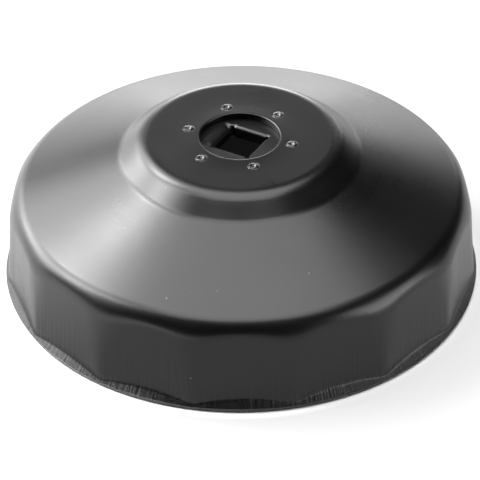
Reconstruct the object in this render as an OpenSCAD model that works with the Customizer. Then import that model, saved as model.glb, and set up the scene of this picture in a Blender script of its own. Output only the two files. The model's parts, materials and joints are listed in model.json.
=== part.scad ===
// Cup-type oil filter wrench: a pressed sheet-steel cup with a fluted wall fits over the end of a
// spin-on filter can, and a plate welded under its hub takes a square drive.
// Millimetres. Z is the cup's axis. The rim rests on z = 0 and the hub is on top.

/* [Cup] */
// Outside diameter of the flared rim
rim_d = 110; // [108:0.5:112]
// Overall height, from the rim to the hub top
cup_h = 36.9; // [36:0.1:40]
// Thickness of the pressed sheet
sheet_t = 1.5; // [1:0.1:1.6]

/* [Hub] */
// Radius of the level part of the hub top
hub_flat_r = 20.7; // [20:0.1:21.5]
// Radius of the fillet round the hub top
hub_fillet_r = 5; // [3:0.1:5.2]
// Slope of the hub step, in degrees from level
step_angle = 43; // [40:1:50]
// Radius of the circle at the foot of the hub step
foot_r = 27.5; // [27.2:0.1:28.5]
// Radius of the hollow fillet at the foot of the step
foot_fillet_r = 5; // [2:0.5:6]
// Diameter of the round hole in the hub
hub_hole_d = 18.4; // [17.6:0.2:19.6]

/* [Dome and wall] */
// Slope of the dome, in degrees from level
dome_angle = 22.3; // [21:0.1:24]
// Radius of the shoulder between the dome and the wall
shoulder_r = 5; // [3:0.1:5.5]
// Radius of the wall's corners at the shoulder
wall_r = 53.6; // [53.4:0.1:53.8]
// Outward slope of the wall, in degrees
draft_angle = 2.25; // [1.5:0.25:3]
// Number of flats round the wall
flutes = 15; // [14:1:16]
// How far each flat lies outside a sharp-cornered polygon
corner_ease = 0.4; // [0.3:0.05:0.5]

/* [Rim] */
// Slope of the flared lip at its edge, in degrees from level
lip_angle = 38; // [34:1:42]
// Depth ground off the lip's lower corner, which leaves a level ring to stand on
rim_grind = 0.3; // [0.2:0.05:0.4]

/* [Drive plate] */
// Side of the square drive hole (3/8 inch drive)
drive_side = 9.6; // [9.53:0.01:9.7]
// Turn of the square about the axis, in degrees
drive_turn = -30; // [-45:1:45]
// Thickness of the drive plate
plate_t = 3; // [2.5:0.1:4]
// Diameter of the drive plate
plate_d = 36; // [32:1:40]
// Radius of the relief in each corner of the square
relief_r = 0.6; // [0.4:0.05:0.8]
// Broken edge round the plate and round the mouth of the square
edge_break = 0.4; // [0.2:0.05:0.5]

/* [Spot welds] */
// Number of welds
weld_n = 6; // [4:1:8]
// Diameter of the circle that the welds lie on
weld_pcd = 24.5; // [24:0.1:27]
// Turn of the first weld about the axis, in degrees
weld_turn = 44; // [0:1:60]
// Diameter of one weld button
weld_d = 2.7; // [2:0.1:3]
// Depth of the weld nugget in the plate
weld_depth = 1.2; // [0.8:0.1:1.6]

/* [Hidden] */
$fn = 96;

// Room past a face, so that a cut goes right through it
past = 1;
// Steps in each arc of the sheet's profile
arc_n = 9;
// Broken edge round the hub hole
hole_break = 0.3;
// Height of the raised ring and depth of the crater on a weld
weld_ring_h = 0.16;
weld_crater = 0.3;

rim_r = rim_d / 2;
plate_z = cup_h - sheet_t;
flat_step = 360 / flutes;

// Hub fillet: its centre, and its lower end, where the step's straight slope begins
hub_c = [hub_flat_r, cup_h - hub_fillet_r];
step_start = on_arc(hub_c, hub_fillet_r, 90 - step_angle);
// The step's slope and the dome's slope meet at the foot, which a hollow fillet rounds
foot = [foot_r, step_start.y - (foot_r - step_start.x) * tan(step_angle)];
foot_bisector = 90 - (step_angle + dome_angle) / 2;
foot_c = foot + foot_fillet_r / cos((step_angle - dome_angle) / 2)
    * [cos(foot_bisector), sin(foot_bisector)];
// Centres of the shoulder, round the wall's corners and along a flat
round_c = shoulder_centre(wall_r);
// Distance from the axis to a flat, at the shoulder's height
apothem = wall_r * cos(180 / flutes) + corner_ease;
flat_c = shoulder_centre(apothem);
// Lip: a hollow arc, tangent to the middle of each flat, that ends at the rim's edge
lip_end_a = 90 - lip_angle;
lip_edge_z = sheet_t * cos(lip_angle) - rim_grind;
lip_r = (rim_r - wall_at(flat_c, lip_edge_z, 0))
    / (1 / cos(draft_angle) - cos(lip_end_a) - sin(lip_end_a) * tan(draft_angle));
lip_c = [rim_r + lip_r * cos(lip_end_a), lip_edge_z + lip_r * sin(lip_end_a)];

// The point on a circle at an angle from level
function on_arc(c, r, a) = c + r * [cos(a), sin(a)];
// Points along an arc, from one angle to another
function arc(c, r, from, to) = [for (i = [0:arc_n]) on_arc(c, r, from + (to - from) * i / arc_n)];
// Centre of a shoulder arc that is tangent to the dome's slope and to a wall at a radius
function shoulder_centre(outer) = [outer - shoulder_r,
    foot.y - (outer - shoulder_r * (1 - sin(dome_angle)) - foot_r) * tan(dome_angle)
    - shoulder_r * cos(dome_angle)];
// Radius of a wall below a shoulder centre at a height, a depth of steel under its outer face
function wall_at(c, z, depth) =
    c.x + (shoulder_r - depth) / cos(draft_angle) + (c.y - z) * tan(draft_angle);
// The shoulder arc and the wall below it, a depth of steel under the outer face
function side_profile(c, depth) = concat(
    arc(c, shoulder_r - depth, 90 - dome_angle, draft_angle),
    [[wall_at(c, -past, depth), -past]]);

// Profile of the hub, dome and round wall, a depth of steel under the outer face
function dome_profile(depth) = concat(
    [[0, cup_h - depth]],
    arc(hub_c, hub_fillet_r - depth, 90, 90 - step_angle),
    arc(foot_c, foot_fillet_r + depth, 270 - step_angle, 270 - dome_angle),
    side_profile(round_c, depth),
    [[0, -past]]);

// Outline of the space outside one flat and its shoulder
function flat_outline(depth) = concat(
    side_profile(flat_c, depth),
    [[rim_r + past, -past], [rim_r + past, on_arc(flat_c, shoulder_r - depth, 90 - dome_angle).y]]);

// Profile of the flared lip, from inside the wall to the sheet's cut edge
function lip_profile(depth) = concat(
    arc(lip_c, lip_r + depth, 180 + draft_angle, 180 + lip_end_a),
    [on_arc(lip_c, lip_r + sheet_t, 180 + lip_end_a) - [depth / sheet_t, past],
     [apothem / 2, -past],
     [apothem / 2, lip_c.y]]);

// The cup as a solid body with its flats and lip, a depth of steel under the outer face
module cup_body(depth) {
    difference() {
        rotate_extrude() polygon(dome_profile(depth));
        for (i = [0:flutes - 1])
            rotate(-90 + i * flat_step)
                rotate([90, 0, 0])
                    linear_extrude(rim_r, center = true) polygon(flat_outline(depth));
    }
    rotate_extrude() polygon(lip_profile(depth));
}

module at_welds() {
    for (i = [0:weld_n - 1])
        rotate(weld_turn + i * 360 / weld_n) translate([weld_pcd / 2, 0, 0]) children();
}

// Blind hole for a weld: through the sheet and into the plate
module weld_hole() {
    translate([0, 0, plate_z - weld_depth]) cylinder(d = weld_d, h = weld_depth + sheet_t + past);
}

module cup_shell() {
    color([0.1, 0.1, 0.11])
        difference() {
            cup_body(0);
            cup_body(sheet_t);
            translate([0, 0, plate_z - past]) cylinder(d = hub_hole_d, h = sheet_t + 2 * past);
            translate([0, 0, cup_h - hole_break])
                cylinder(d1 = hub_hole_d, d2 = hub_hole_d + 4 * hole_break, h = 2 * hole_break);
            at_welds() weld_hole();
            translate([-rim_d, -rim_d, -cup_h]) cube([2 * rim_d, 2 * rim_d, cup_h]);
        }
}

// A round disc with both edges broken
module broken_disc(d, h, edge) {
    rotate_extrude()
        polygon([[0, 0], [d / 2 - edge, 0], [d / 2, edge], [d / 2, h - edge], [d / 2 - edge, h], [0, h]]);
}

module drive_plate() {
    color([0.22, 0.22, 0.23])
        translate([0, 0, plate_z - plate_t])
            difference() {
                broken_disc(plate_d, plate_t, edge_break);
                rotate(drive_turn) {
                    translate([-drive_side / 2, -drive_side / 2, -past])
                        cube([drive_side, drive_side, plate_t + 2 * past]);
                    for (i = [0:3])
                        rotate(i * 90) {
                            translate([drive_side / 2 - relief_r / 2, drive_side / 2 - relief_r / 2, -past])
                                cylinder(r = relief_r, h = plate_t + 2 * past);
                            // A bar turned on its edge breaks one side of the square's mouth
                            translate([drive_side / 2, 0, plate_t])
                                rotate([0, 45, 0])
                                    cube([edge_break * sqrt(2), drive_side, edge_break * sqrt(2)],
                                         center = true);
                        }
                }
                translate([0, 0, plate_t - plate_z]) at_welds() weld_hole();
            }
}

// One weld: a nugget in the plate and the sheet, with a raised ring and a crater on top
module spot_weld() {
    r = weld_d / 2;
    translate([0, 0, cup_h])
        rotate_extrude()
            polygon(concat(
                [[0, -sheet_t - weld_depth], [r, -sheet_t - weld_depth], [r, 0]],
                [for (a = [0:15:180]) [r * (0.6 + 0.25 * cos(a)), weld_ring_h * sin(a)]],
                [[r * 0.25, -weld_crater], [0, -weld_crater]]));
}

module spot_welds() {
    color([0.35, 0.35, 0.36]) at_welds() spot_weld();
}

cup_shell();
drive_plate();
spot_welds();
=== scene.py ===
import json
import math

import bpy
import numpy as np
from mathutils import Matrix, Vector
from mathutils.geometry import delaunay_2d_cdt


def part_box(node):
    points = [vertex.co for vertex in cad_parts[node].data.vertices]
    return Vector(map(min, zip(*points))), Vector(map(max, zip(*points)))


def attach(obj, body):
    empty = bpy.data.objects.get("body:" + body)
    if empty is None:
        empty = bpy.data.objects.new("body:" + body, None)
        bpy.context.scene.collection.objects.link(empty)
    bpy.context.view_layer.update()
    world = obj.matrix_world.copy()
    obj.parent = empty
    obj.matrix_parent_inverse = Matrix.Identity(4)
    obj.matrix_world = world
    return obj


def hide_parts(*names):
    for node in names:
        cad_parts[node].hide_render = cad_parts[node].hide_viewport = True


# Looks of a cup-type oil filter wrench. Metres, in the CAD frame: the rim rests on z = 0, the hub is
# on top and a flat of the wall faces -Y. Outlines are (distance from the axis, height). Angles are in
# degrees, and those of outlines and slopes are taken from level.
MM = 0.001
UP = 90.0

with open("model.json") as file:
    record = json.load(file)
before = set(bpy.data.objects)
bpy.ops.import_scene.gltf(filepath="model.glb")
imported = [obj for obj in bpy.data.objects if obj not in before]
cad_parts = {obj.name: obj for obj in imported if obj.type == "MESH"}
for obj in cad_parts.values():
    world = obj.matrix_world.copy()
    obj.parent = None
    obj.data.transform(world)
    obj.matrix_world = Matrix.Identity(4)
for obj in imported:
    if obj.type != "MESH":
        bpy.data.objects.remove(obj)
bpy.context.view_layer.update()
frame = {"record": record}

# ---- Driving sizes, from the frame ----
shell_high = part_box("cup_shell")[1]
plate_low, plate_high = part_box("drive_plate")
bore = next(m for m in frame["record"]["mounts"] if m["name"] == "hub_hole")
RIM_R = 55.0 * MM
TOP_Z = shell_high.z
PLATE_R = (plate_high.x - plate_low.x) / 2
PLATE_TOP, PLATE_BOTTOM = plate_high.z, plate_low.z
SHEET_T = TOP_Z - PLATE_TOP
HOLE_R = bore["dims"]["r_mm"] * MM

# ---- Shape of the pressed sheet ----
HUB_FLAT_R, HUB_FILLET_R = 20.7 * MM, 5.0 * MM
STEP_ANGLE, DOME_ANGLE, DRAFT = 43.0, 22.3, 2.25
FOOT_R, FOOT_FILLET_R = 27.5 * MM, 5.0 * MM
DOME_END_R, SHOULDER_R = 49.6 * MM, 5.1 * MM
SHOULDER_SPLIT = 45                        # Slope where the shoulder opens out to flats and corners
FLUTES, FLAT_R = 15, 52.75 * MM
CORNER_HIGH_R, CORNER_LOW_R = 20.0 * MM, 6.0 * MM
FLARE_ANGLE, LIP_ANGLE = 50.0, 24.0        # Slopes of the lip: its straight part and its edge
ROOT_SHARE, EDGE_SHARE = 1.2, 0.35         # Radii of the lip's two arcs, as shares of its width
RIM_GRIND = 0.3 * MM                       # Depth ground off the lip's lower corner
RIM_TOP_ROUND, RIM_FOOT_ROUND = 0.22 * MM, 0.1 * MM
CROWN_R, CROWN_H = 15.5 * MM, 0.14 * MM    # The hub top rises a little towards its hole
HOLE_ROLL = 0.4 * MM                       # How far the punch rolled in the hole's upper edge
HOLE_LOW_ROUND = 0.12 * MM
PANEL_R = 18.0 * MM                        # Level panel round the hole, with the welds in it

# ---- Welds and the pockets for them in the sheet ----
WELDS, WELD_PCD_R, WELD_TURN, WELD_R = 6, 12.25 * MM, 44.0, 1.35 * MM
POCKET_R = WELD_R + 0.12 * MM
POCKET_MARGINS = (0.0, 0.15 * MM, 0.4 * MM)    # Rings of vertices at a pocket's mouth, past its radius
POCKET_CLEARANCE = 0.6 * MM                    # Room round a pocket for its own rings
POCKET_DEPTH = 0.5 * MM
# Rings down a pocket's wall: distance outside the weld, depth
POCKET_WALL = ((0.05 * MM, 0.03 * MM), (0.02 * MM, 0.1 * MM), (0.02 * MM, POCKET_DEPTH))
# A weld's outline, from its foot over the raised ring into the crater: share of its radius, height
# in mm above the hub top
WELD_PROFILE = (
    (1.0, -0.45), (1.0, -0.06), (0.96, -0.02), (0.88, 0.0), (0.8, -0.01), (0.74, 0.02), (0.68, 0.06),
    (0.6, 0.08), (0.52, 0.07), (0.45, 0.03), (0.38, -0.08), (0.3, -0.18), (0.18, -0.24))
WELD_FOOT, WELD_CRATER = 0.45 * MM, 0.26 * MM  # Depths of the flat foot and of the crater's middle
# Random waves round a weld and tilt of its ring in mm, and the parts of the outline that take them
WELD_SEED = 7
WELD_WAVES, WELD_TILT = (0.02, 0.05), (0.01, 0.03)
WAVY_BELOW, TILTED_FROM, TILTED_TO = 0.85, 0.3, 0.8

# ---- Shape of the drive plate ----
SQUARE, SQUARE_TURN, RELIEF_R = 9.6 * MM, -30.0, 0.6 * MM
RELIEF_BLEND = 0.12 * MM
# The punch rolled in the square's mouth, across and down. The roll is wide on one side, narrower on the
# side behind and slight on the other two.
ROLL_W, ROLL_D = 2.5 * MM, 1.3 * MM
BACK_ROLL_W, BACK_ROLL_D = 0.9 * MM, 0.6 * MM
ROLL_MIN_W, ROLL_MIN_D = 0.15 * MM, 0.1 * MM
WIDE_SIDE, BACK_SIDE = 180, 90             # Directions of those sides from the square's own turn
SIDE_REACH, SIDE_FADE = 48, 12             # Angle that a side's roll reaches to, and fades over
PLATE_EDGE = 0.35 * MM                     # Radius of the plate's rounded edges
# Rings up the lower part of the square's wall, which is torn a little wider: growth, height
TORN = 0.08 * MM
TORN_WALL = (
    (TORN + 0.15 * MM, 0.0), (TORN + 0.04 * MM, 0.04 * MM), (TORN, 0.15 * MM), (TORN, 1.2 * MM),
    (0.0, 1.5 * MM))

# ---- Mesh density ----
COLUMNS, PLATE_COLUMNS = 600, 480                        # Vertices in one ring of the shell and plate
POCKET_SIDES, WELD_SIDES, CROWN_SIDES = 40, 48, 120      # And in the smaller rings
HUB_RING_RADII = (PANEL_R, 19.2 * MM, 20.2 * MM)         # Level rings between the panel and the fillet
CROWN_MARGIN, CROWN_SPACING = 0.5 * MM, 0.6 * MM         # Of the crown's rings, out from the hole's
PLATE_TOP_RADII = (10 * MM, 12 * MM, PLATE_R - 2 * PLATE_EDGE)
PLATE_UNDER_RADII = (PLATE_R - 2 * PLATE_EDGE, 11 * MM, 8.2 * MM)
MOUTH_RINGS, EDGE_RINGS = 15, 5
MERGE_DISTANCE = 1e-7                                    # In millimetres

# ---- Wear: how bare an edge is, from 0 to 1 ----
RIM_WEAR, RIM_FOOT_WEAR, HOLE_WEAR = 1.0, 0.6, 0.5
MOUTH_WEAR, PLATE_EDGE_WEAR, SQUARE_WEAR, WELD_WEAR = 0.7, 0.4, 0.3, 0.8
GROUND_Z = 0.02 * MM                       # Height of the rim's foot, which is worn less than its edge
MOUTH_WEAR_END = 20                        # Angle round the mouth's roll where its wear ends


def cosd(a):
    return math.cos(math.radians(a))


def sind(a):
    return math.sin(math.radians(a))


def tand(a):
    return math.tan(math.radians(a))


def direction(a):
    """Unit vector of an outline, at an angle in degrees from level."""
    return np.array([cosd(a), sind(a)])


def smooth_step(x):
    x = np.clip(x, 0.0, 1.0)
    return x * x * (3 - 2 * x)


def soft_max(a, b, k):
    """The larger of a and b, rounded over a width k where they cross."""
    h = np.maximum(k - np.abs(a - b), 0.0) / k
    return np.maximum(a, b) + h * h * k / 4


def turns(sides):
    """Angles in radians, evenly round a circle."""
    return np.arange(sides) * 2 * np.pi / sides


def unit_circle(sides):
    return np.stack([np.cos(turns(sides)), np.sin(turns(sides))], 1)


# ---- The wall's outline, seen from above: flats with rounded corners ----
ANGLES = np.radians(-UP + np.arange(COLUMNS) * 360 / COLUMNS)
FLAT_HALF = 180 / FLUTES
from_flat = np.abs((np.degrees(ANGLES) + UP + FLAT_HALF) % (2 * FLAT_HALF) - FLAT_HALF)


def flats_outline(corner_r):
    """Distance from the axis to the flats all the way round, with the corners rounded to a radius."""
    along = FLAT_R * np.tan(np.radians(from_flat))
    straight = (FLAT_R - corner_r) * tand(FLAT_HALF)
    centre = (FLAT_R - corner_r) / cosd(FLAT_HALF)
    from_corner = np.radians(FLAT_HALF - from_flat)
    round_part = centre * np.cos(from_corner) + np.sqrt(
        np.maximum(corner_r ** 2 - (centre * np.sin(from_corner)) ** 2, 0.0))
    return np.where(along < straight, FLAT_R / np.cos(np.radians(from_flat)), round_part)


# ---- Centres and radii of the outer outline's arcs ----
hub_c = np.array([HUB_FLAT_R, TOP_Z - HUB_FILLET_R])
step_start = hub_c + HUB_FILLET_R * direction(UP - STEP_ANGLE)
foot = np.array([FOOT_R, step_start[1] - (FOOT_R - step_start[0]) * tand(STEP_ANGLE)])
foot_c = foot + FOOT_FILLET_R / cosd((STEP_ANGLE - DOME_ANGLE) / 2) * direction(
    UP - (STEP_ANGLE + DOME_ANGLE) / 2)
# The dome ends on a circle. The shoulder goes on round the axis as far as SHOULDER_SPLIT, and from
# there each column has its own arc, down to the flats and corners.
dome_end = np.array([DOME_END_R, foot[1] - (DOME_END_R - FOOT_R) * tand(DOME_ANGLE)])
round_c = dome_end - SHOULDER_R * direction(UP - DOME_ANGLE)
round_end = round_c + SHOULDER_R * direction(SHOULDER_SPLIT)
shoulder_r = (flats_outline(CORNER_HIGH_R) - round_end[0]) / (1 / cosd(DRAFT) - cosd(SHOULDER_SPLIT))
shoulder_c = round_end - shoulder_r[:, None] * direction(SHOULDER_SPLIT)
WALL_TOP_Z = float(shoulder_c[:, 1].mean())
# The wall's corners are sharper at its foot than at the shoulder. The lip is a hollow arc out of the
# wall, a straight flare and a tighter arc that ends at the rim's edge. All three shrink towards the
# corners, where the wall comes nearly out to the edge.
LIP_END, FLARE = UP - LIP_ANGLE, UP - FLARE_ANGLE
lip_edge = np.array([RIM_R, SHEET_T * cosd(LIP_ANGLE) - RIM_GRIND])
wall_at_edge = flats_outline(CORNER_LOW_R) + (WALL_TOP_Z - lip_edge[1]) * tand(DRAFT)
lip_run = RIM_R - wall_at_edge
root_r, edge_r = ROOT_SHARE * lip_run, EDGE_SHARE * lip_run
edge_c = lip_edge + edge_r[:, None] * direction(LIP_END)
flare_low = edge_c - edge_r[:, None] * direction(FLARE)
flare_length = ((flare_low[:, 0] - wall_at_edge + root_r * (cosd(FLARE) - 1 / cosd(DRAFT))
                 + (flare_low[:, 1] - lip_edge[1] + root_r * sind(FLARE)) * tand(DRAFT))
                / (sind(FLARE) - cosd(FLARE) * tand(DRAFT)))
root_c = flare_low + flare_length[:, None] * direction(UP + FLARE) + root_r[:, None] * direction(FLARE)
LIP_TOP_Z = float(root_c[:, 1].max())


# ---- Rows of the outer face: (points, outward normals), with one point for each column ----
def arc_rows(centre, radius, start, end, steps, hollow=False):
    """Rows along an arc. Its centre and radius may differ from column to column."""
    sign = -1.0 if hollow else 1.0
    centre = np.broadcast_to(centre, (COLUMNS, 2))
    radius = np.broadcast_to(radius, COLUMNS)[:, None]
    angles = np.linspace(start, end, steps + 1)
    return [(centre + radius * direction(a), sign * direction(a)) for a in angles]


def line_rows(a, b, steps):
    """Rows strictly between two rows, with the first row's normal."""
    return [(a[0] + (b[0] - a[0]) * i / steps, a[1]) for i in range(1, steps)]


def level_rows(radii):
    return [(np.tile([r, TOP_Z], (COLUMNS, 1)), direction(UP)) for r in radii]


fillet_rows = arc_rows(hub_c, HUB_FILLET_R, UP, UP - STEP_ANGLE, steps=16)
foot_rows = arc_rows(
    foot_c, FOOT_FILLET_R, 270 - STEP_ANGLE, 270 - DOME_ANGLE, steps=10, hollow=True)
shoulder_rows = (arc_rows(round_c, SHOULDER_R, UP - DOME_ANGLE, SHOULDER_SPLIT, steps=10)
                 + arc_rows(shoulder_c, shoulder_r, SHOULDER_SPLIT, DRAFT, steps=18)[1:])
root_rows = arc_rows(root_c, root_r, 180 + DRAFT, 180 + FLARE, steps=14, hollow=True)
edge_rows = arc_rows(edge_c, edge_r, 180 + FLARE, 180 + LIP_END, steps=8, hollow=True)
outer_rows = (
    level_rows(HUB_RING_RADII)
    + fillet_rows + line_rows(fillet_rows[-1], foot_rows[0], steps=3)
    + foot_rows + line_rows(foot_rows[-1], shoulder_rows[0], steps=14)
    + shoulder_rows + line_rows(shoulder_rows[-1], root_rows[0], steps=14)
    + root_rows + line_rows(root_rows[-1], edge_rows[0], steps=5) + edge_rows)


# ---- Meshes ----
def ring(points):
    """One closed ring of vertices, from one outline point or from one for each column."""
    points = np.broadcast_to(points, (COLUMNS, 2))
    r, z = points[:, 0], points[:, 1]
    return np.stack([r * np.cos(ANGLES), r * np.sin(ANGLES), z], 1)


def rounded_corner(before, corner, after, radius, steps):
    """Points that round the corner of an outline, at the same distance along both sides."""
    a = corner + (before - corner) / np.linalg.norm(before - corner) * radius
    b = corner + (after - corner) / np.linalg.norm(after - corner) * radius
    t = np.linspace(0, 1, steps + 1)[:, None]
    return list((1 - t) ** 2 * a + 2 * t * (1 - t) * corner + t ** 2 * b)


class Builder:
    """Collects vertices, faces and a wear value for each vertex, and makes one mesh object."""

    def __init__(self):
        self.points, self.faces, self.wear, self.count = [], [], [], 0

    def add(self, points, wear=0.0):
        points = np.asarray(points, float)
        start = self.count
        self.points.append(points)
        self.wear.append(np.full(len(points), wear))
        self.count += len(points)
        return np.arange(start, self.count)

    def bridge(self, a, b):
        """Quads between two closed rings. The face looks out when b is further along the outline."""
        self.faces += [tuple(q) for q in np.stack([a, b, np.roll(b, -1), np.roll(a, -1)], 1).tolist()]

    def cap(self, ring_ids, centre):
        """Closes a ring with a fan of triangles round a new vertex."""
        c = self.add([centre])[0]
        self.faces += [(int(a), int(b), int(c)) for a, b in zip(ring_ids, np.roll(ring_ids, -1))]

    def build(self, name, material):
        mesh = bpy.data.meshes.new(name)
        mesh.from_pydata(np.concatenate(self.points).tolist(), [], self.faces)
        mesh.polygons.foreach_set("use_smooth", [True] * len(mesh.polygons))
        wear = mesh.attributes.new("wear", "FLOAT", "POINT")
        wear.data.foreach_set("value", np.concatenate(self.wear).astype(np.float32))
        mesh.materials.append(material)
        piece = bpy.data.objects.new(name, mesh)
        bpy.context.scene.collection.objects.link(piece)
        return piece


def hub_top(x, y):
    """Height of the hub top, which rises towards the hole."""
    inward = np.clip((CROWN_R - np.hypot(x, y)) / (CROWN_R - HOLE_R - HOLE_ROLL), 0.0, 1.0)
    return TOP_Z + CROWN_H * inward ** 2


def on_hub(at, depth=0.0):
    """Vertices at places on the hub top, or a depth under it."""
    return np.column_stack([at, hub_top(*at.T) - depth])


WELD_CENTRES = [WELD_PCD_R * direction(WELD_TURN + i * 360 / WELDS) for i in range(WELDS)]


def near_weld(at, reach):
    return any(np.hypot(*(at - centre)) < reach for centre in WELD_CENTRES)


def build_panel(shell, outer_ids, inner_ids):
    """The panel between two rings of the hub top, with a shallow pocket for each weld."""
    circle = unit_circle(POCKET_SIDES)
    ids = list(outer_ids) + list(inner_ids)
    loops = [list(range(COLUMNS)), list(range(COLUMNS, 2 * COLUMNS))]
    mouths = []
    for centre in WELD_CENTRES:
        rings = [shell.add(on_hub(centre + circle * (POCKET_R + wider))) for wider in POCKET_MARGINS]
        mouths.append(rings[0])
        for ring_ids in rings:
            loops.append(list(range(len(ids), len(ids) + POCKET_SIDES)))
            ids += list(ring_ids)
    edges = [(a, b) for loop in loops for a, b in zip(loop, loop[1:] + loop[:1])]
    # Rings of points between the welds, which carry the crown
    for r in np.arange(HOLE_R + HOLE_ROLL + CROWN_MARGIN, CROWN_R + MM, CROWN_SPACING):
        at = r * unit_circle(CROWN_SIDES)
        at = at[[not near_weld(p, POCKET_R + POCKET_CLEARANCE) for p in at]]
        ids += list(shell.add(on_hub(at)))
    points = np.concatenate(shell.points)
    flat = [Vector(points[i][:2] / MM) for i in ids]
    verts, _, faces, origin, _, _ = delaunay_2d_cdt(flat, edges, [], 0, MERGE_DISTANCE)
    assert len(verts) == len(flat)
    # Triangles whose middle lies inside the hole or a pocket are left out. The limits are a little
    # inside the rings, so narrow slivers along the rings stay in.
    hole_limit, pocket_limit = HOLE_R + HOLE_ROLL * 0.9, POCKET_R * 0.99
    for face in faces:
        at = np.mean([np.array(verts[i]) for i in face], 0) * MM
        if not (np.hypot(*at) < hole_limit or near_weld(at, pocket_limit)):
            shell.faces.append(tuple(int(ids[origin[i][0]]) for i in face))
    for centre, last in zip(WELD_CENTRES, mouths):
        for gap, depth in POCKET_WALL:
            now = shell.add(on_hub(centre + circle * (WELD_R + gap), depth))
            shell.bridge(now, last)
            last = now
        shell.cap(last, [*centre, TOP_Z - POCKET_DEPTH])


def build_shell(material):
    shell = Builder()
    rings = [shell.add(ring(p)) for p, _ in outer_rows[:-1]]
    # The sheet's cut edge: rounded above, ground level below
    above = lip_edge + MM * direction(UP + LIP_END)
    edge_foot = np.array([lip_edge[0] - lip_edge[1] * tand(LIP_ANGLE), 0.0])
    grind_in = edge_foot - np.array([RIM_GRIND / sind(LIP_ANGLE), 0.0])
    edge = (rounded_corner(above, lip_edge, edge_foot, RIM_TOP_ROUND, 5)
            + rounded_corner(lip_edge, edge_foot, grind_in, RIM_FOOT_ROUND, 2))
    rings += [shell.add(ring(p), RIM_WEAR if p[1] > GROUND_Z else RIM_FOOT_WEAR) for p in edge]
    # The inner face, from the lip back up to the hub, no lower than the ground ring
    inner = [p - SHEET_T * n for p, n in reversed(outer_rows)]
    rings += [shell.add(ring(np.maximum(p, [0.0, 0.0]))) for p in inner]
    # The hub hole, from below, with its upper edge rolled in by the punch
    hole_low, hole_high = np.array([HOLE_R, PLATE_TOP]), np.array([HOLE_R, TOP_Z + CROWN_H])
    under, over = np.array([PANEL_R, PLATE_TOP]), np.array([PANEL_R, TOP_Z + CROWN_H])
    hole = (rounded_corner(under, hole_low, hole_high, HOLE_LOW_ROUND, 2)
            + rounded_corner(hole_low, hole_high, over, HOLE_ROLL, 8))
    rings += [shell.add(ring(p), HOLE_WEAR if p[1] > PLATE_TOP + MM else 0.0) for p in hole]
    for a, b in zip(rings, rings[1:]):
        shell.bridge(a, b)
    build_panel(shell, rings[0], rings[-1])
    return shell.build("cup_shell_pressed", material)


PLATE_ANGLES = np.radians(np.arange(PLATE_COLUMNS) * 360 / PLATE_COLUMNS)


def square_outline(grow):
    """Distance from the axis to the square hole all the way round, with a relief in each corner."""
    a = np.radians((np.degrees(PLATE_ANGLES) - SQUARE_TURN) % 90 - 45)
    half = SQUARE / 2 + grow
    square = half / np.maximum(np.abs(np.cos(a + math.pi / 4)), np.abs(np.sin(a + math.pi / 4)))
    centre = (SQUARE - RELIEF_R) / 2 * math.sqrt(2)
    relief_r = RELIEF_R + grow
    inside = relief_r ** 2 - (centre * np.sin(a)) ** 2
    relief = np.where(inside > 0, centre * np.cos(a) + np.sqrt(np.maximum(inside, 0)), 0.0)
    return soft_max(square, relief, RELIEF_BLEND)


def plate_ring(radius, z):
    radius = np.broadcast_to(radius, PLATE_COLUMNS)
    z = np.broadcast_to(z, PLATE_COLUMNS)
    return np.stack([radius * np.cos(PLATE_ANGLES), radius * np.sin(PLATE_ANGLES), z], 1)


def near_side(side):
    """1 along one side of the square and 0 along the others, with a smooth change at the corners."""
    off = np.abs((np.degrees(PLATE_ANGLES) - SQUARE_TURN - side + 180) % 360 - 180)
    return smooth_step((SIDE_REACH - off) / SIDE_FADE)


def build_plate(material):
    plate = Builder()
    rings = []

    def add(radius, z, wear=0.0):
        rings.append(plate.add(plate_ring(radius, z), wear))

    # Up the rolled mouth of the square, and out over the top
    wide, back = near_side(WIDE_SIDE), near_side(BACK_SIDE)
    roll_w = ROLL_MIN_W + (ROLL_W - ROLL_MIN_W) * wide + BACK_ROLL_W * back
    roll_d = ROLL_MIN_D + (ROLL_D - ROLL_MIN_D) * wide + BACK_ROLL_D * back
    for t in np.linspace(0, 90, MOUTH_RINGS):
        add(square_outline(roll_w * (1 - cosd(t))), PLATE_TOP - roll_d * (1 - sind(t)),
            MOUTH_WEAR if t < MOUTH_WEAR_END else 0.0)
    for r in PLATE_TOP_RADII:
        add(r, PLATE_TOP)
    # Round the plate's two edges, and back in under it
    for top, bottom, z in ((90, 0, PLATE_TOP - PLATE_EDGE), (0, -90, PLATE_BOTTOM + PLATE_EDGE)):
        for t in np.linspace(top, bottom, EDGE_RINGS):
            add(PLATE_R - PLATE_EDGE + PLATE_EDGE * cosd(t), z + PLATE_EDGE * sind(t), PLATE_EDGE_WEAR)
    for r in PLATE_UNDER_RADII:
        add(r, PLATE_BOTTOM)
    # Up the square's walls: torn below, sheared smooth above
    for grow, height in TORN_WALL:
        add(square_outline(grow), PLATE_BOTTOM + height, SQUARE_WEAR)
    add(square_outline(0.0), PLATE_TOP - roll_d - 0.05 * MM, SQUARE_WEAR)
    for a, b in zip(rings, rings[1:] + rings[:1]):
        plate.bridge(a, b)
    return plate.build("drive_plate_punched", material)


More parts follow.
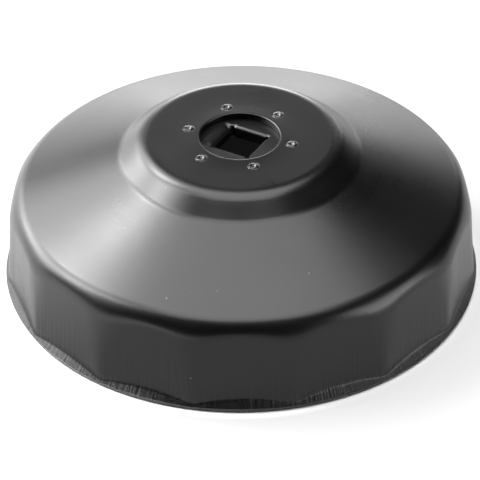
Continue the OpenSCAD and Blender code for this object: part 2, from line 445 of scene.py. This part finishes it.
def build_welds(material):
    """Six weld buttons: a raised ring round a crater, each a little different."""
    welds = Builder()
    rng = np.random.default_rng(WELD_SEED)
    turn, circle = turns(WELD_SIDES), unit_circle(WELD_SIDES)
    for centre in WELD_CENTRES:
        weld_top = float(hub_top(*centre))
        phase, waves, tilt = rng.uniform(0, 2 * np.pi), rng.uniform(*WELD_WAVES), rng.uniform(*WELD_TILT)
        rings = []
        for share, height in WELD_PROFILE:
            radius = WELD_R * share * (1 + waves * np.sin(3 * turn + phase) * (share < WAVY_BELOW))
            tilted = tilt * np.cos(turn - phase) * (TILTED_FROM < share < TILTED_TO)
            z = weld_top + (height + tilted) * MM
            rings.append(welds.add(np.column_stack([centre + radius[:, None] * circle, z]), WELD_WEAR))
        for a, b in zip(rings, rings[1:]):
            welds.bridge(b, a)
        welds.cap(rings[-1], [*centre, weld_top - WELD_CRATER])
        welds.cap(rings[0][::-1], [*centre, weld_top - WELD_FOOT])
    return welds.build("weld_buttons", material)


# ---- Materials ----
COATING_IOR = 1.42
SHELL_BLACK, SHELL_ROUGHNESS = (0.0008, 0.0008, 0.0009), 0.3
PLATE_BLACK, PLATE_ROUGHNESS = (0.002, 0.002, 0.0021), 0.33
SCUFF_GREY = (0.02, 0.02, 0.021, 1.0)
SPECK_GREY = (0.32, 0.32, 0.33, 1.0)
BARE_STEEL = (0.3, 0.3, 0.31, 1.0)
WELD_DARK, WELD_LIGHT = (0.002, 0.002, 0.002, 1.0), (0.02, 0.02, 0.021, 1.0)
FLOOR_DARK, FLOOR_LIGHT = (0.145, 0.145, 0.145, 1.0), (0.155, 0.155, 0.155, 1.0)
FLOOR_UNDER = (0.8, 0.8, 0.8, 1.0)
WHITE = (1.0, 1.0, 1.0, 1.0)
# The floor's glow is painted light: an even glow that washes out its shadows, a faint one under the cup,
# and more to the left, a painted pool of light
FLOOR_PAINTED_GLOW, UNDER_PAINTED_GLOW = 0.62, 0.006
LEFT_PAINTED_LIGHT, LEFT_PAINTED_LIGHT_START, LEFT_PAINTED_LIGHT_FULL = 1.3, -0.045, -0.085


class Nodes:
    """Short calls for building one material's node tree."""

    def __init__(self, name):
        self.material = bpy.data.materials.new(name)
        self.material.use_nodes = True
        self.tree = self.material.node_tree
        self.shader = self.tree.nodes["Principled BSDF"]
        self.place = self.add("ShaderNodeTexCoord").outputs["Object"]

    def feed(self, socket, value):
        """Links another node's output to a socket, or sets the socket to a constant."""
        if isinstance(value, bpy.types.NodeSocket):
            self.tree.links.new(value, socket)
        else:
            socket.default_value = value

    def add(self, kind, inputs=None, **settings):
        node = self.tree.nodes.new(kind)
        for key, value in settings.items():
            setattr(node, key, value)
        for key, value in (inputs or {}).items():
            self.feed(node.inputs[key], value)
        return node

    def math(self, operation, a, b=0.0):
        return self.add("ShaderNodeMath", {0: a, 1: b}, operation=operation).outputs[0]

    def plus(self, a, b):
        return self.math("ADD", a, b)

    def minus(self, a, b):
        return self.math("SUBTRACT", a, b)

    def times(self, a, b):
        return self.math("MULTIPLY", a, b)

    def remap(self, value, low, high, to_low=0.0, to_high=1.0):
        """Carries the span from low to high over to the span from to_low to to_high, and holds the
        ends outside it."""
        return self.add("ShaderNodeMapRange", {
            "Value": value, "From Min": low, "From Max": high,
            "To Min": to_low, "To Max": to_high}).outputs["Result"]

    def noise(self, vector, scale, detail, rough):
        return self.add("ShaderNodeTexNoise", {
            "Vector": vector, "Scale": scale, "Detail": detail, "Roughness": rough}).outputs["Fac"]

    def stretched(self, across, along, share):
        """A texture vector whose pattern is drawn out in one direction, to 1 / share of its length."""
        return self.add("ShaderNodeCombineXYZ", {
            0: across, 1: self.times(along, share), 2: 0.0}).outputs[0]

    def specks(self, scale, outer, inner, above):
        """Round specks, in those cells of a pattern whose random value is above a limit."""
        cell = self.add("ShaderNodeTexVoronoi", {
            "Vector": self.place, "Scale": scale, "Randomness": 1.0})
        pick = self.add("ShaderNodeSeparateColor", {0: cell.outputs["Color"]}).outputs[0]
        return self.times(self.remap(cell.outputs["Distance"], outer, inner),
                          self.math("GREATER_THAN", pick, above))

    def mix(self, factor, a, b):
        """A colour between a and b."""
        node = self.add("ShaderNodeMix", data_type="RGBA")
        for key, value in ((0, factor), (6, a), (7, b)):
            self.feed(node.inputs[key], value)
        return node.outputs[2]

    def bump(self, height, strength, distance, normal=None):
        inputs = {"Height": height, "Strength": strength, "Distance": distance}
        if normal is not None:
            inputs["Normal"] = normal
        return self.add("ShaderNodeBump", inputs).outputs["Normal"]

    def drive(self, **sockets):
        for key, value in sockets.items():
            self.feed(self.shader.inputs[key.replace("_", " ")], value)


def coated_steel(name, colour, roughness, drawn):
    """Satin black coating on steel: fine grain, faint spin rings on the dome, a few specks, and steel
    that shows a little where the edges are worn. A drawn sheet also has lines down its wall and lip."""
    n = Nodes(name)
    x, y, z = n.add("ShaderNodeSeparateXYZ", {0: n.place}).outputs
    radius = n.math("SQRT", n.plus(n.times(x, x), n.times(y, y)))
    round_way = n.times(n.math("ARCTAN2", y, x), FLAT_R)
    grain = n.noise(n.place, scale=2600.0, detail=5.0, rough=0.6)
    peel = n.noise(n.place, scale=420.0, detail=3.0, rough=0.5)
    cloud = n.noise(n.place, scale=45.0, detail=5.0, rough=0.55)
    spin = n.noise(n.stretched(radius, round_way, 0.02), scale=900.0, detail=4.0, rough=0.6)
    down_wall = n.stretched(round_way, z, 0.03)
    lines = n.noise(down_wall, scale=1500.0, detail=5.0, rough=0.65)
    wide_lines = n.noise(down_wall, scale=260.0, detail=3.0, rough=0.5)
    fine_speck = n.specks(scale=1300.0, outer=0.3, inner=0.1, above=0.72)
    speck = n.specks(scale=190.0, outer=0.03, inner=0.015, above=0.8)
    # Where things show: wall or dome, drawing lines growing down the wall and strongest on the lip
    on_wall = n.remap(z, WALL_TOP_Z + 3 * MM, WALL_TOP_Z - 2 * MM)
    on_dome = n.minus(1.0, on_wall)
    draw = n.plus(n.remap(z, WALL_TOP_Z - 1 * MM, WALL_TOP_Z - 12 * MM, to_high=0.3),
                  n.remap(z, LIP_TOP_Z, LIP_TOP_Z - 1 * MM, to_high=0.7))
    wear = n.add("ShaderNodeAttribute", attribute_name="wear").outputs["Fac"]
    worn = n.times(n.remap(n.plus(wear, n.times(cloud, 0.8)), 1.0, 1.5), 0.04)
    # Colour
    tone = n.remap(n.plus(n.times(cloud, 0.7), n.times(grain, 0.3)), 0.3, 0.7)
    base = n.mix(tone, [c * 0.8 for c in colour] + [1.0], [c * 1.3 for c in colour] + [1.0])
    base = n.mix(n.times(speck, 0.8), base, SPECK_GREY)
    if drawn:
        base = n.mix(n.times(n.remap(lines, 0.5, 0.75), draw), base, SCUFF_GREY)
    base = n.mix(worn, base, BARE_STEEL)
    # Roughness
    streaks = n.plus(n.times(n.minus(wide_lines, 0.5), on_wall),
                     n.times(n.minus(spin, 0.5), n.times(on_dome, 0.4)))
    rough = n.remap(cloud, 0.3, 0.7, to_low=roughness - 0.03, to_high=roughness + 0.03)
    rough = n.plus(rough, n.times(streaks, 0.12))
    rough = n.plus(rough, n.times(n.minus(grain, 0.5), 0.08))
    # Relief
    normal = n.bump(grain, strength=0.4, distance=0.02 * MM)
    normal = n.bump(peel, strength=0.06, distance=0.03 * MM, normal=normal)
    if drawn:
        normal = n.bump(lines, strength=draw, distance=0.28 * MM, normal=normal)
        normal = n.bump(spin, strength=n.times(on_dome, 0.08), distance=0.02 * MM, normal=normal)
    normal = n.bump(fine_speck, strength=0.3, distance=0.03 * MM, normal=normal)
    normal = n.bump(speck, strength=0.6, distance=0.05 * MM, normal=normal)
    n.drive(Base_Color=base, Roughness=rough, Metallic=worn, Normal=normal)
    n.shader.inputs["IOR"].default_value = COATING_IOR
    return n.material


def weld_steel():
    """Weld metal: dark and shiny under a film of the coating, with heat-dulled blotches."""
    n = Nodes("weld_metal")
    blotch = n.noise(n.place, scale=900.0, detail=4.0, rough=0.6)
    grain = n.noise(n.place, scale=4000.0, detail=4.0, rough=0.6)
    n.drive(Base_Color=n.mix(n.remap(blotch, 0.35, 0.65), WELD_DARK, WELD_LIGHT),
            Roughness=n.remap(grain, 0.3, 0.7, to_low=0.14, to_high=0.22),
            Normal=n.bump(grain, strength=0.3, distance=0.02 * MM))
    return n.material


def floor_paint():
    """A pale floor with painted light: it glows softly, brighter to the left as a painted pool of light,
    and hardly under the cup, a painted shadow there.
    """
    n = Nodes("studio_floor")
    cloud = n.noise(n.place, scale=3.0, detail=3.0, rough=0.5)
    from_middle = n.add("ShaderNodeVectorMath", {0: n.place}, operation="LENGTH").outputs["Value"]
    # 1 at the rim and under the cup, 0 a little past it: it holds the glow off there as a painted
    # shadow, and gives the floor its pale colour under the cup
    under = n.remap(from_middle, RIM_R + 2.0 * MM, RIM_R)
    x = n.add("ShaderNodeSeparateXYZ", {0: n.place}).outputs[0]
    # Painted pool of light: the floor glows brighter towards the left
    left_painted_light = n.remap(x, LEFT_PAINTED_LIGHT_START, LEFT_PAINTED_LIGHT_FULL, to_high=LEFT_PAINTED_LIGHT)
    # Painted light, held off at the rim and under the cup as a painted shadow
    painted_glow = n.times(n.plus(left_painted_light, FLOOR_PAINTED_GLOW), n.minus(1.0, under))
    n.drive(Base_Color=n.mix(under, n.mix(cloud, FLOOR_DARK, FLOOR_LIGHT), FLOOR_UNDER), Roughness=0.9,
            # A faint painted glow under the cup stands in for light reaching its inside
            Emission_Color=WHITE, Emission_Strength=n.plus(painted_glow, UNDER_PAINTED_GLOW))
    n.shader.inputs["Specular IOR Level"].default_value = 0.0
    return n.material


# ---- Pieces ----
black_shell = coated_steel("black_coated_sheet", SHELL_BLACK, SHELL_ROUGHNESS, drawn=True)
black_plate = coated_steel("black_coated_plate", PLATE_BLACK, PLATE_ROUGHNESS, drawn=False)
pieces = [
    (build_shell(black_shell), "cup_shell", "coated_shell"),
    (build_plate(black_plate), "drive_plate", "coated_plate"),
    (build_welds(weld_steel()), "spot_welds", "weld_steel"),
]
for piece, node, slot in pieces:
    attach(piece, "root")
    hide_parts(node)

# ---- Stage ----
FLOOR_SIZE = 8.0
bpy.ops.mesh.primitive_plane_add(size=FLOOR_SIZE)
floor = bpy.context.object
floor.name = "studio_floor"
floor.data.materials.append(floor_paint())


def aim(thing, at, roll=0.0):
    """Turns a camera or light at a point, with a roll in degrees about its line of sight."""
    forward = (Vector(at) - thing.location).normalized()
    right = forward.cross(Vector((0, 0, 1))).normalized()
    up = right.cross(forward)
    c, s = cosd(roll), sind(roll)
    side, top = c * right + s * up, c * up - s * right
    thing.matrix_world = Matrix.Translation(thing.location) @ Matrix(
        (side, top, -forward)).transposed().to_4x4()


# Soft boxes, all at one distance: name, azimuth from +Y towards -X, elevation from level, the angles
# they cover across and up as seen from the part, and brightness
LIGHT_DISTANCE = 2.0
LIGHTS = (
    ("key_left", 62, 35, 55, 44, 9.0),
    ("key_left_core", 55, 50, 13, 15, 30.0),
    ("key_left_side", 88, 35, 15, 17, 19.0),
    ("key_left_band", 62, 20, 29, 15, 10.0),
    ("key_left_low", 55, 5, 45, 15, 4.0),
    ("side_left", 100, 50, 10, 15, 9.0),
    ("back_middle", 0, 5, 20, 15, 8.5),
    ("back_wide", 0, 8, 60, 18, 2.8),
    ("back_high", 0, 27, 50, 8, 1.5),
    ("top", 0, 90, 50, 50, 6.0),
    ("strip_right", -110, 4, 40, 10, 8.0),
    ("strip_right_high", -110, 18, 38, 16, 5.5),
)


def spread(degrees):
    """Width of a light that covers an angle, seen from the part."""
    return 2 * LIGHT_DISTANCE * tand(degrees / 2)


def softbox(name, azimuth, elevation, across, up, brightness):
    light = bpy.data.lights.new(name, "AREA")
    light.shape = "RECTANGLE"
    light.size, light.size_y = spread(across), spread(up)
    light.energy = brightness * math.pi * spread(across) * spread(up)
    lamp = bpy.data.objects.new(name, light)
    lamp.location = LIGHT_DISTANCE * Vector((
        -sind(azimuth) * cosd(elevation), cosd(azimuth) * cosd(elevation), sind(elevation)))
    if elevation == UP:    # A light points down as it is made
        lamp.matrix_world = Matrix.Translation(lamp.location)
    else:
        aim(lamp, (0, 0, 0))
    lamp.visible_camera = False
    bpy.context.scene.collection.objects.link(lamp)


for light in LIGHTS:
    softbox(*light)

WORLD_GREY, WORLD_STRENGTH = (0.9, 0.9, 0.9, 1.0), 0.01
world = bpy.data.worlds.new("studio")
bpy.context.scene.world = world
world.use_nodes = True
background = world.node_tree.nodes["Background"]
background.inputs["Color"].default_value = WORLD_GREY
background.inputs["Strength"].default_value = WORLD_STRENGTH

# ---- Camera: the photo's framing, with a long lens from above the front ----
CAMERA_ELEVATION, CAMERA_ROLL, CAMERA_LENS = 36.2, -0.65, 265.4
CAMERA_DISTANCE = 15 * RIM_R
CAMERA_AIM = Vector((-0.2 * MM, 0.0, 0.1375 * RIM_R))
camera_data = bpy.data.cameras.new("camera")
camera_data.lens = CAMERA_LENS
camera_data.clip_start, camera_data.clip_end = 0.01, 50.0
camera = bpy.data.objects.new("camera", camera_data)
bpy.context.scene.collection.objects.link(camera)
camera.location = CAMERA_AIM + CAMERA_DISTANCE * Vector(
    (0, -cosd(CAMERA_ELEVATION), sind(CAMERA_ELEVATION)))
aim(camera, CAMERA_AIM, CAMERA_ROLL)
bpy.context.scene.camera = camera
bpy.context.scene.view_settings.view_transform = "Standard"

bpy.context.view_layer.update()
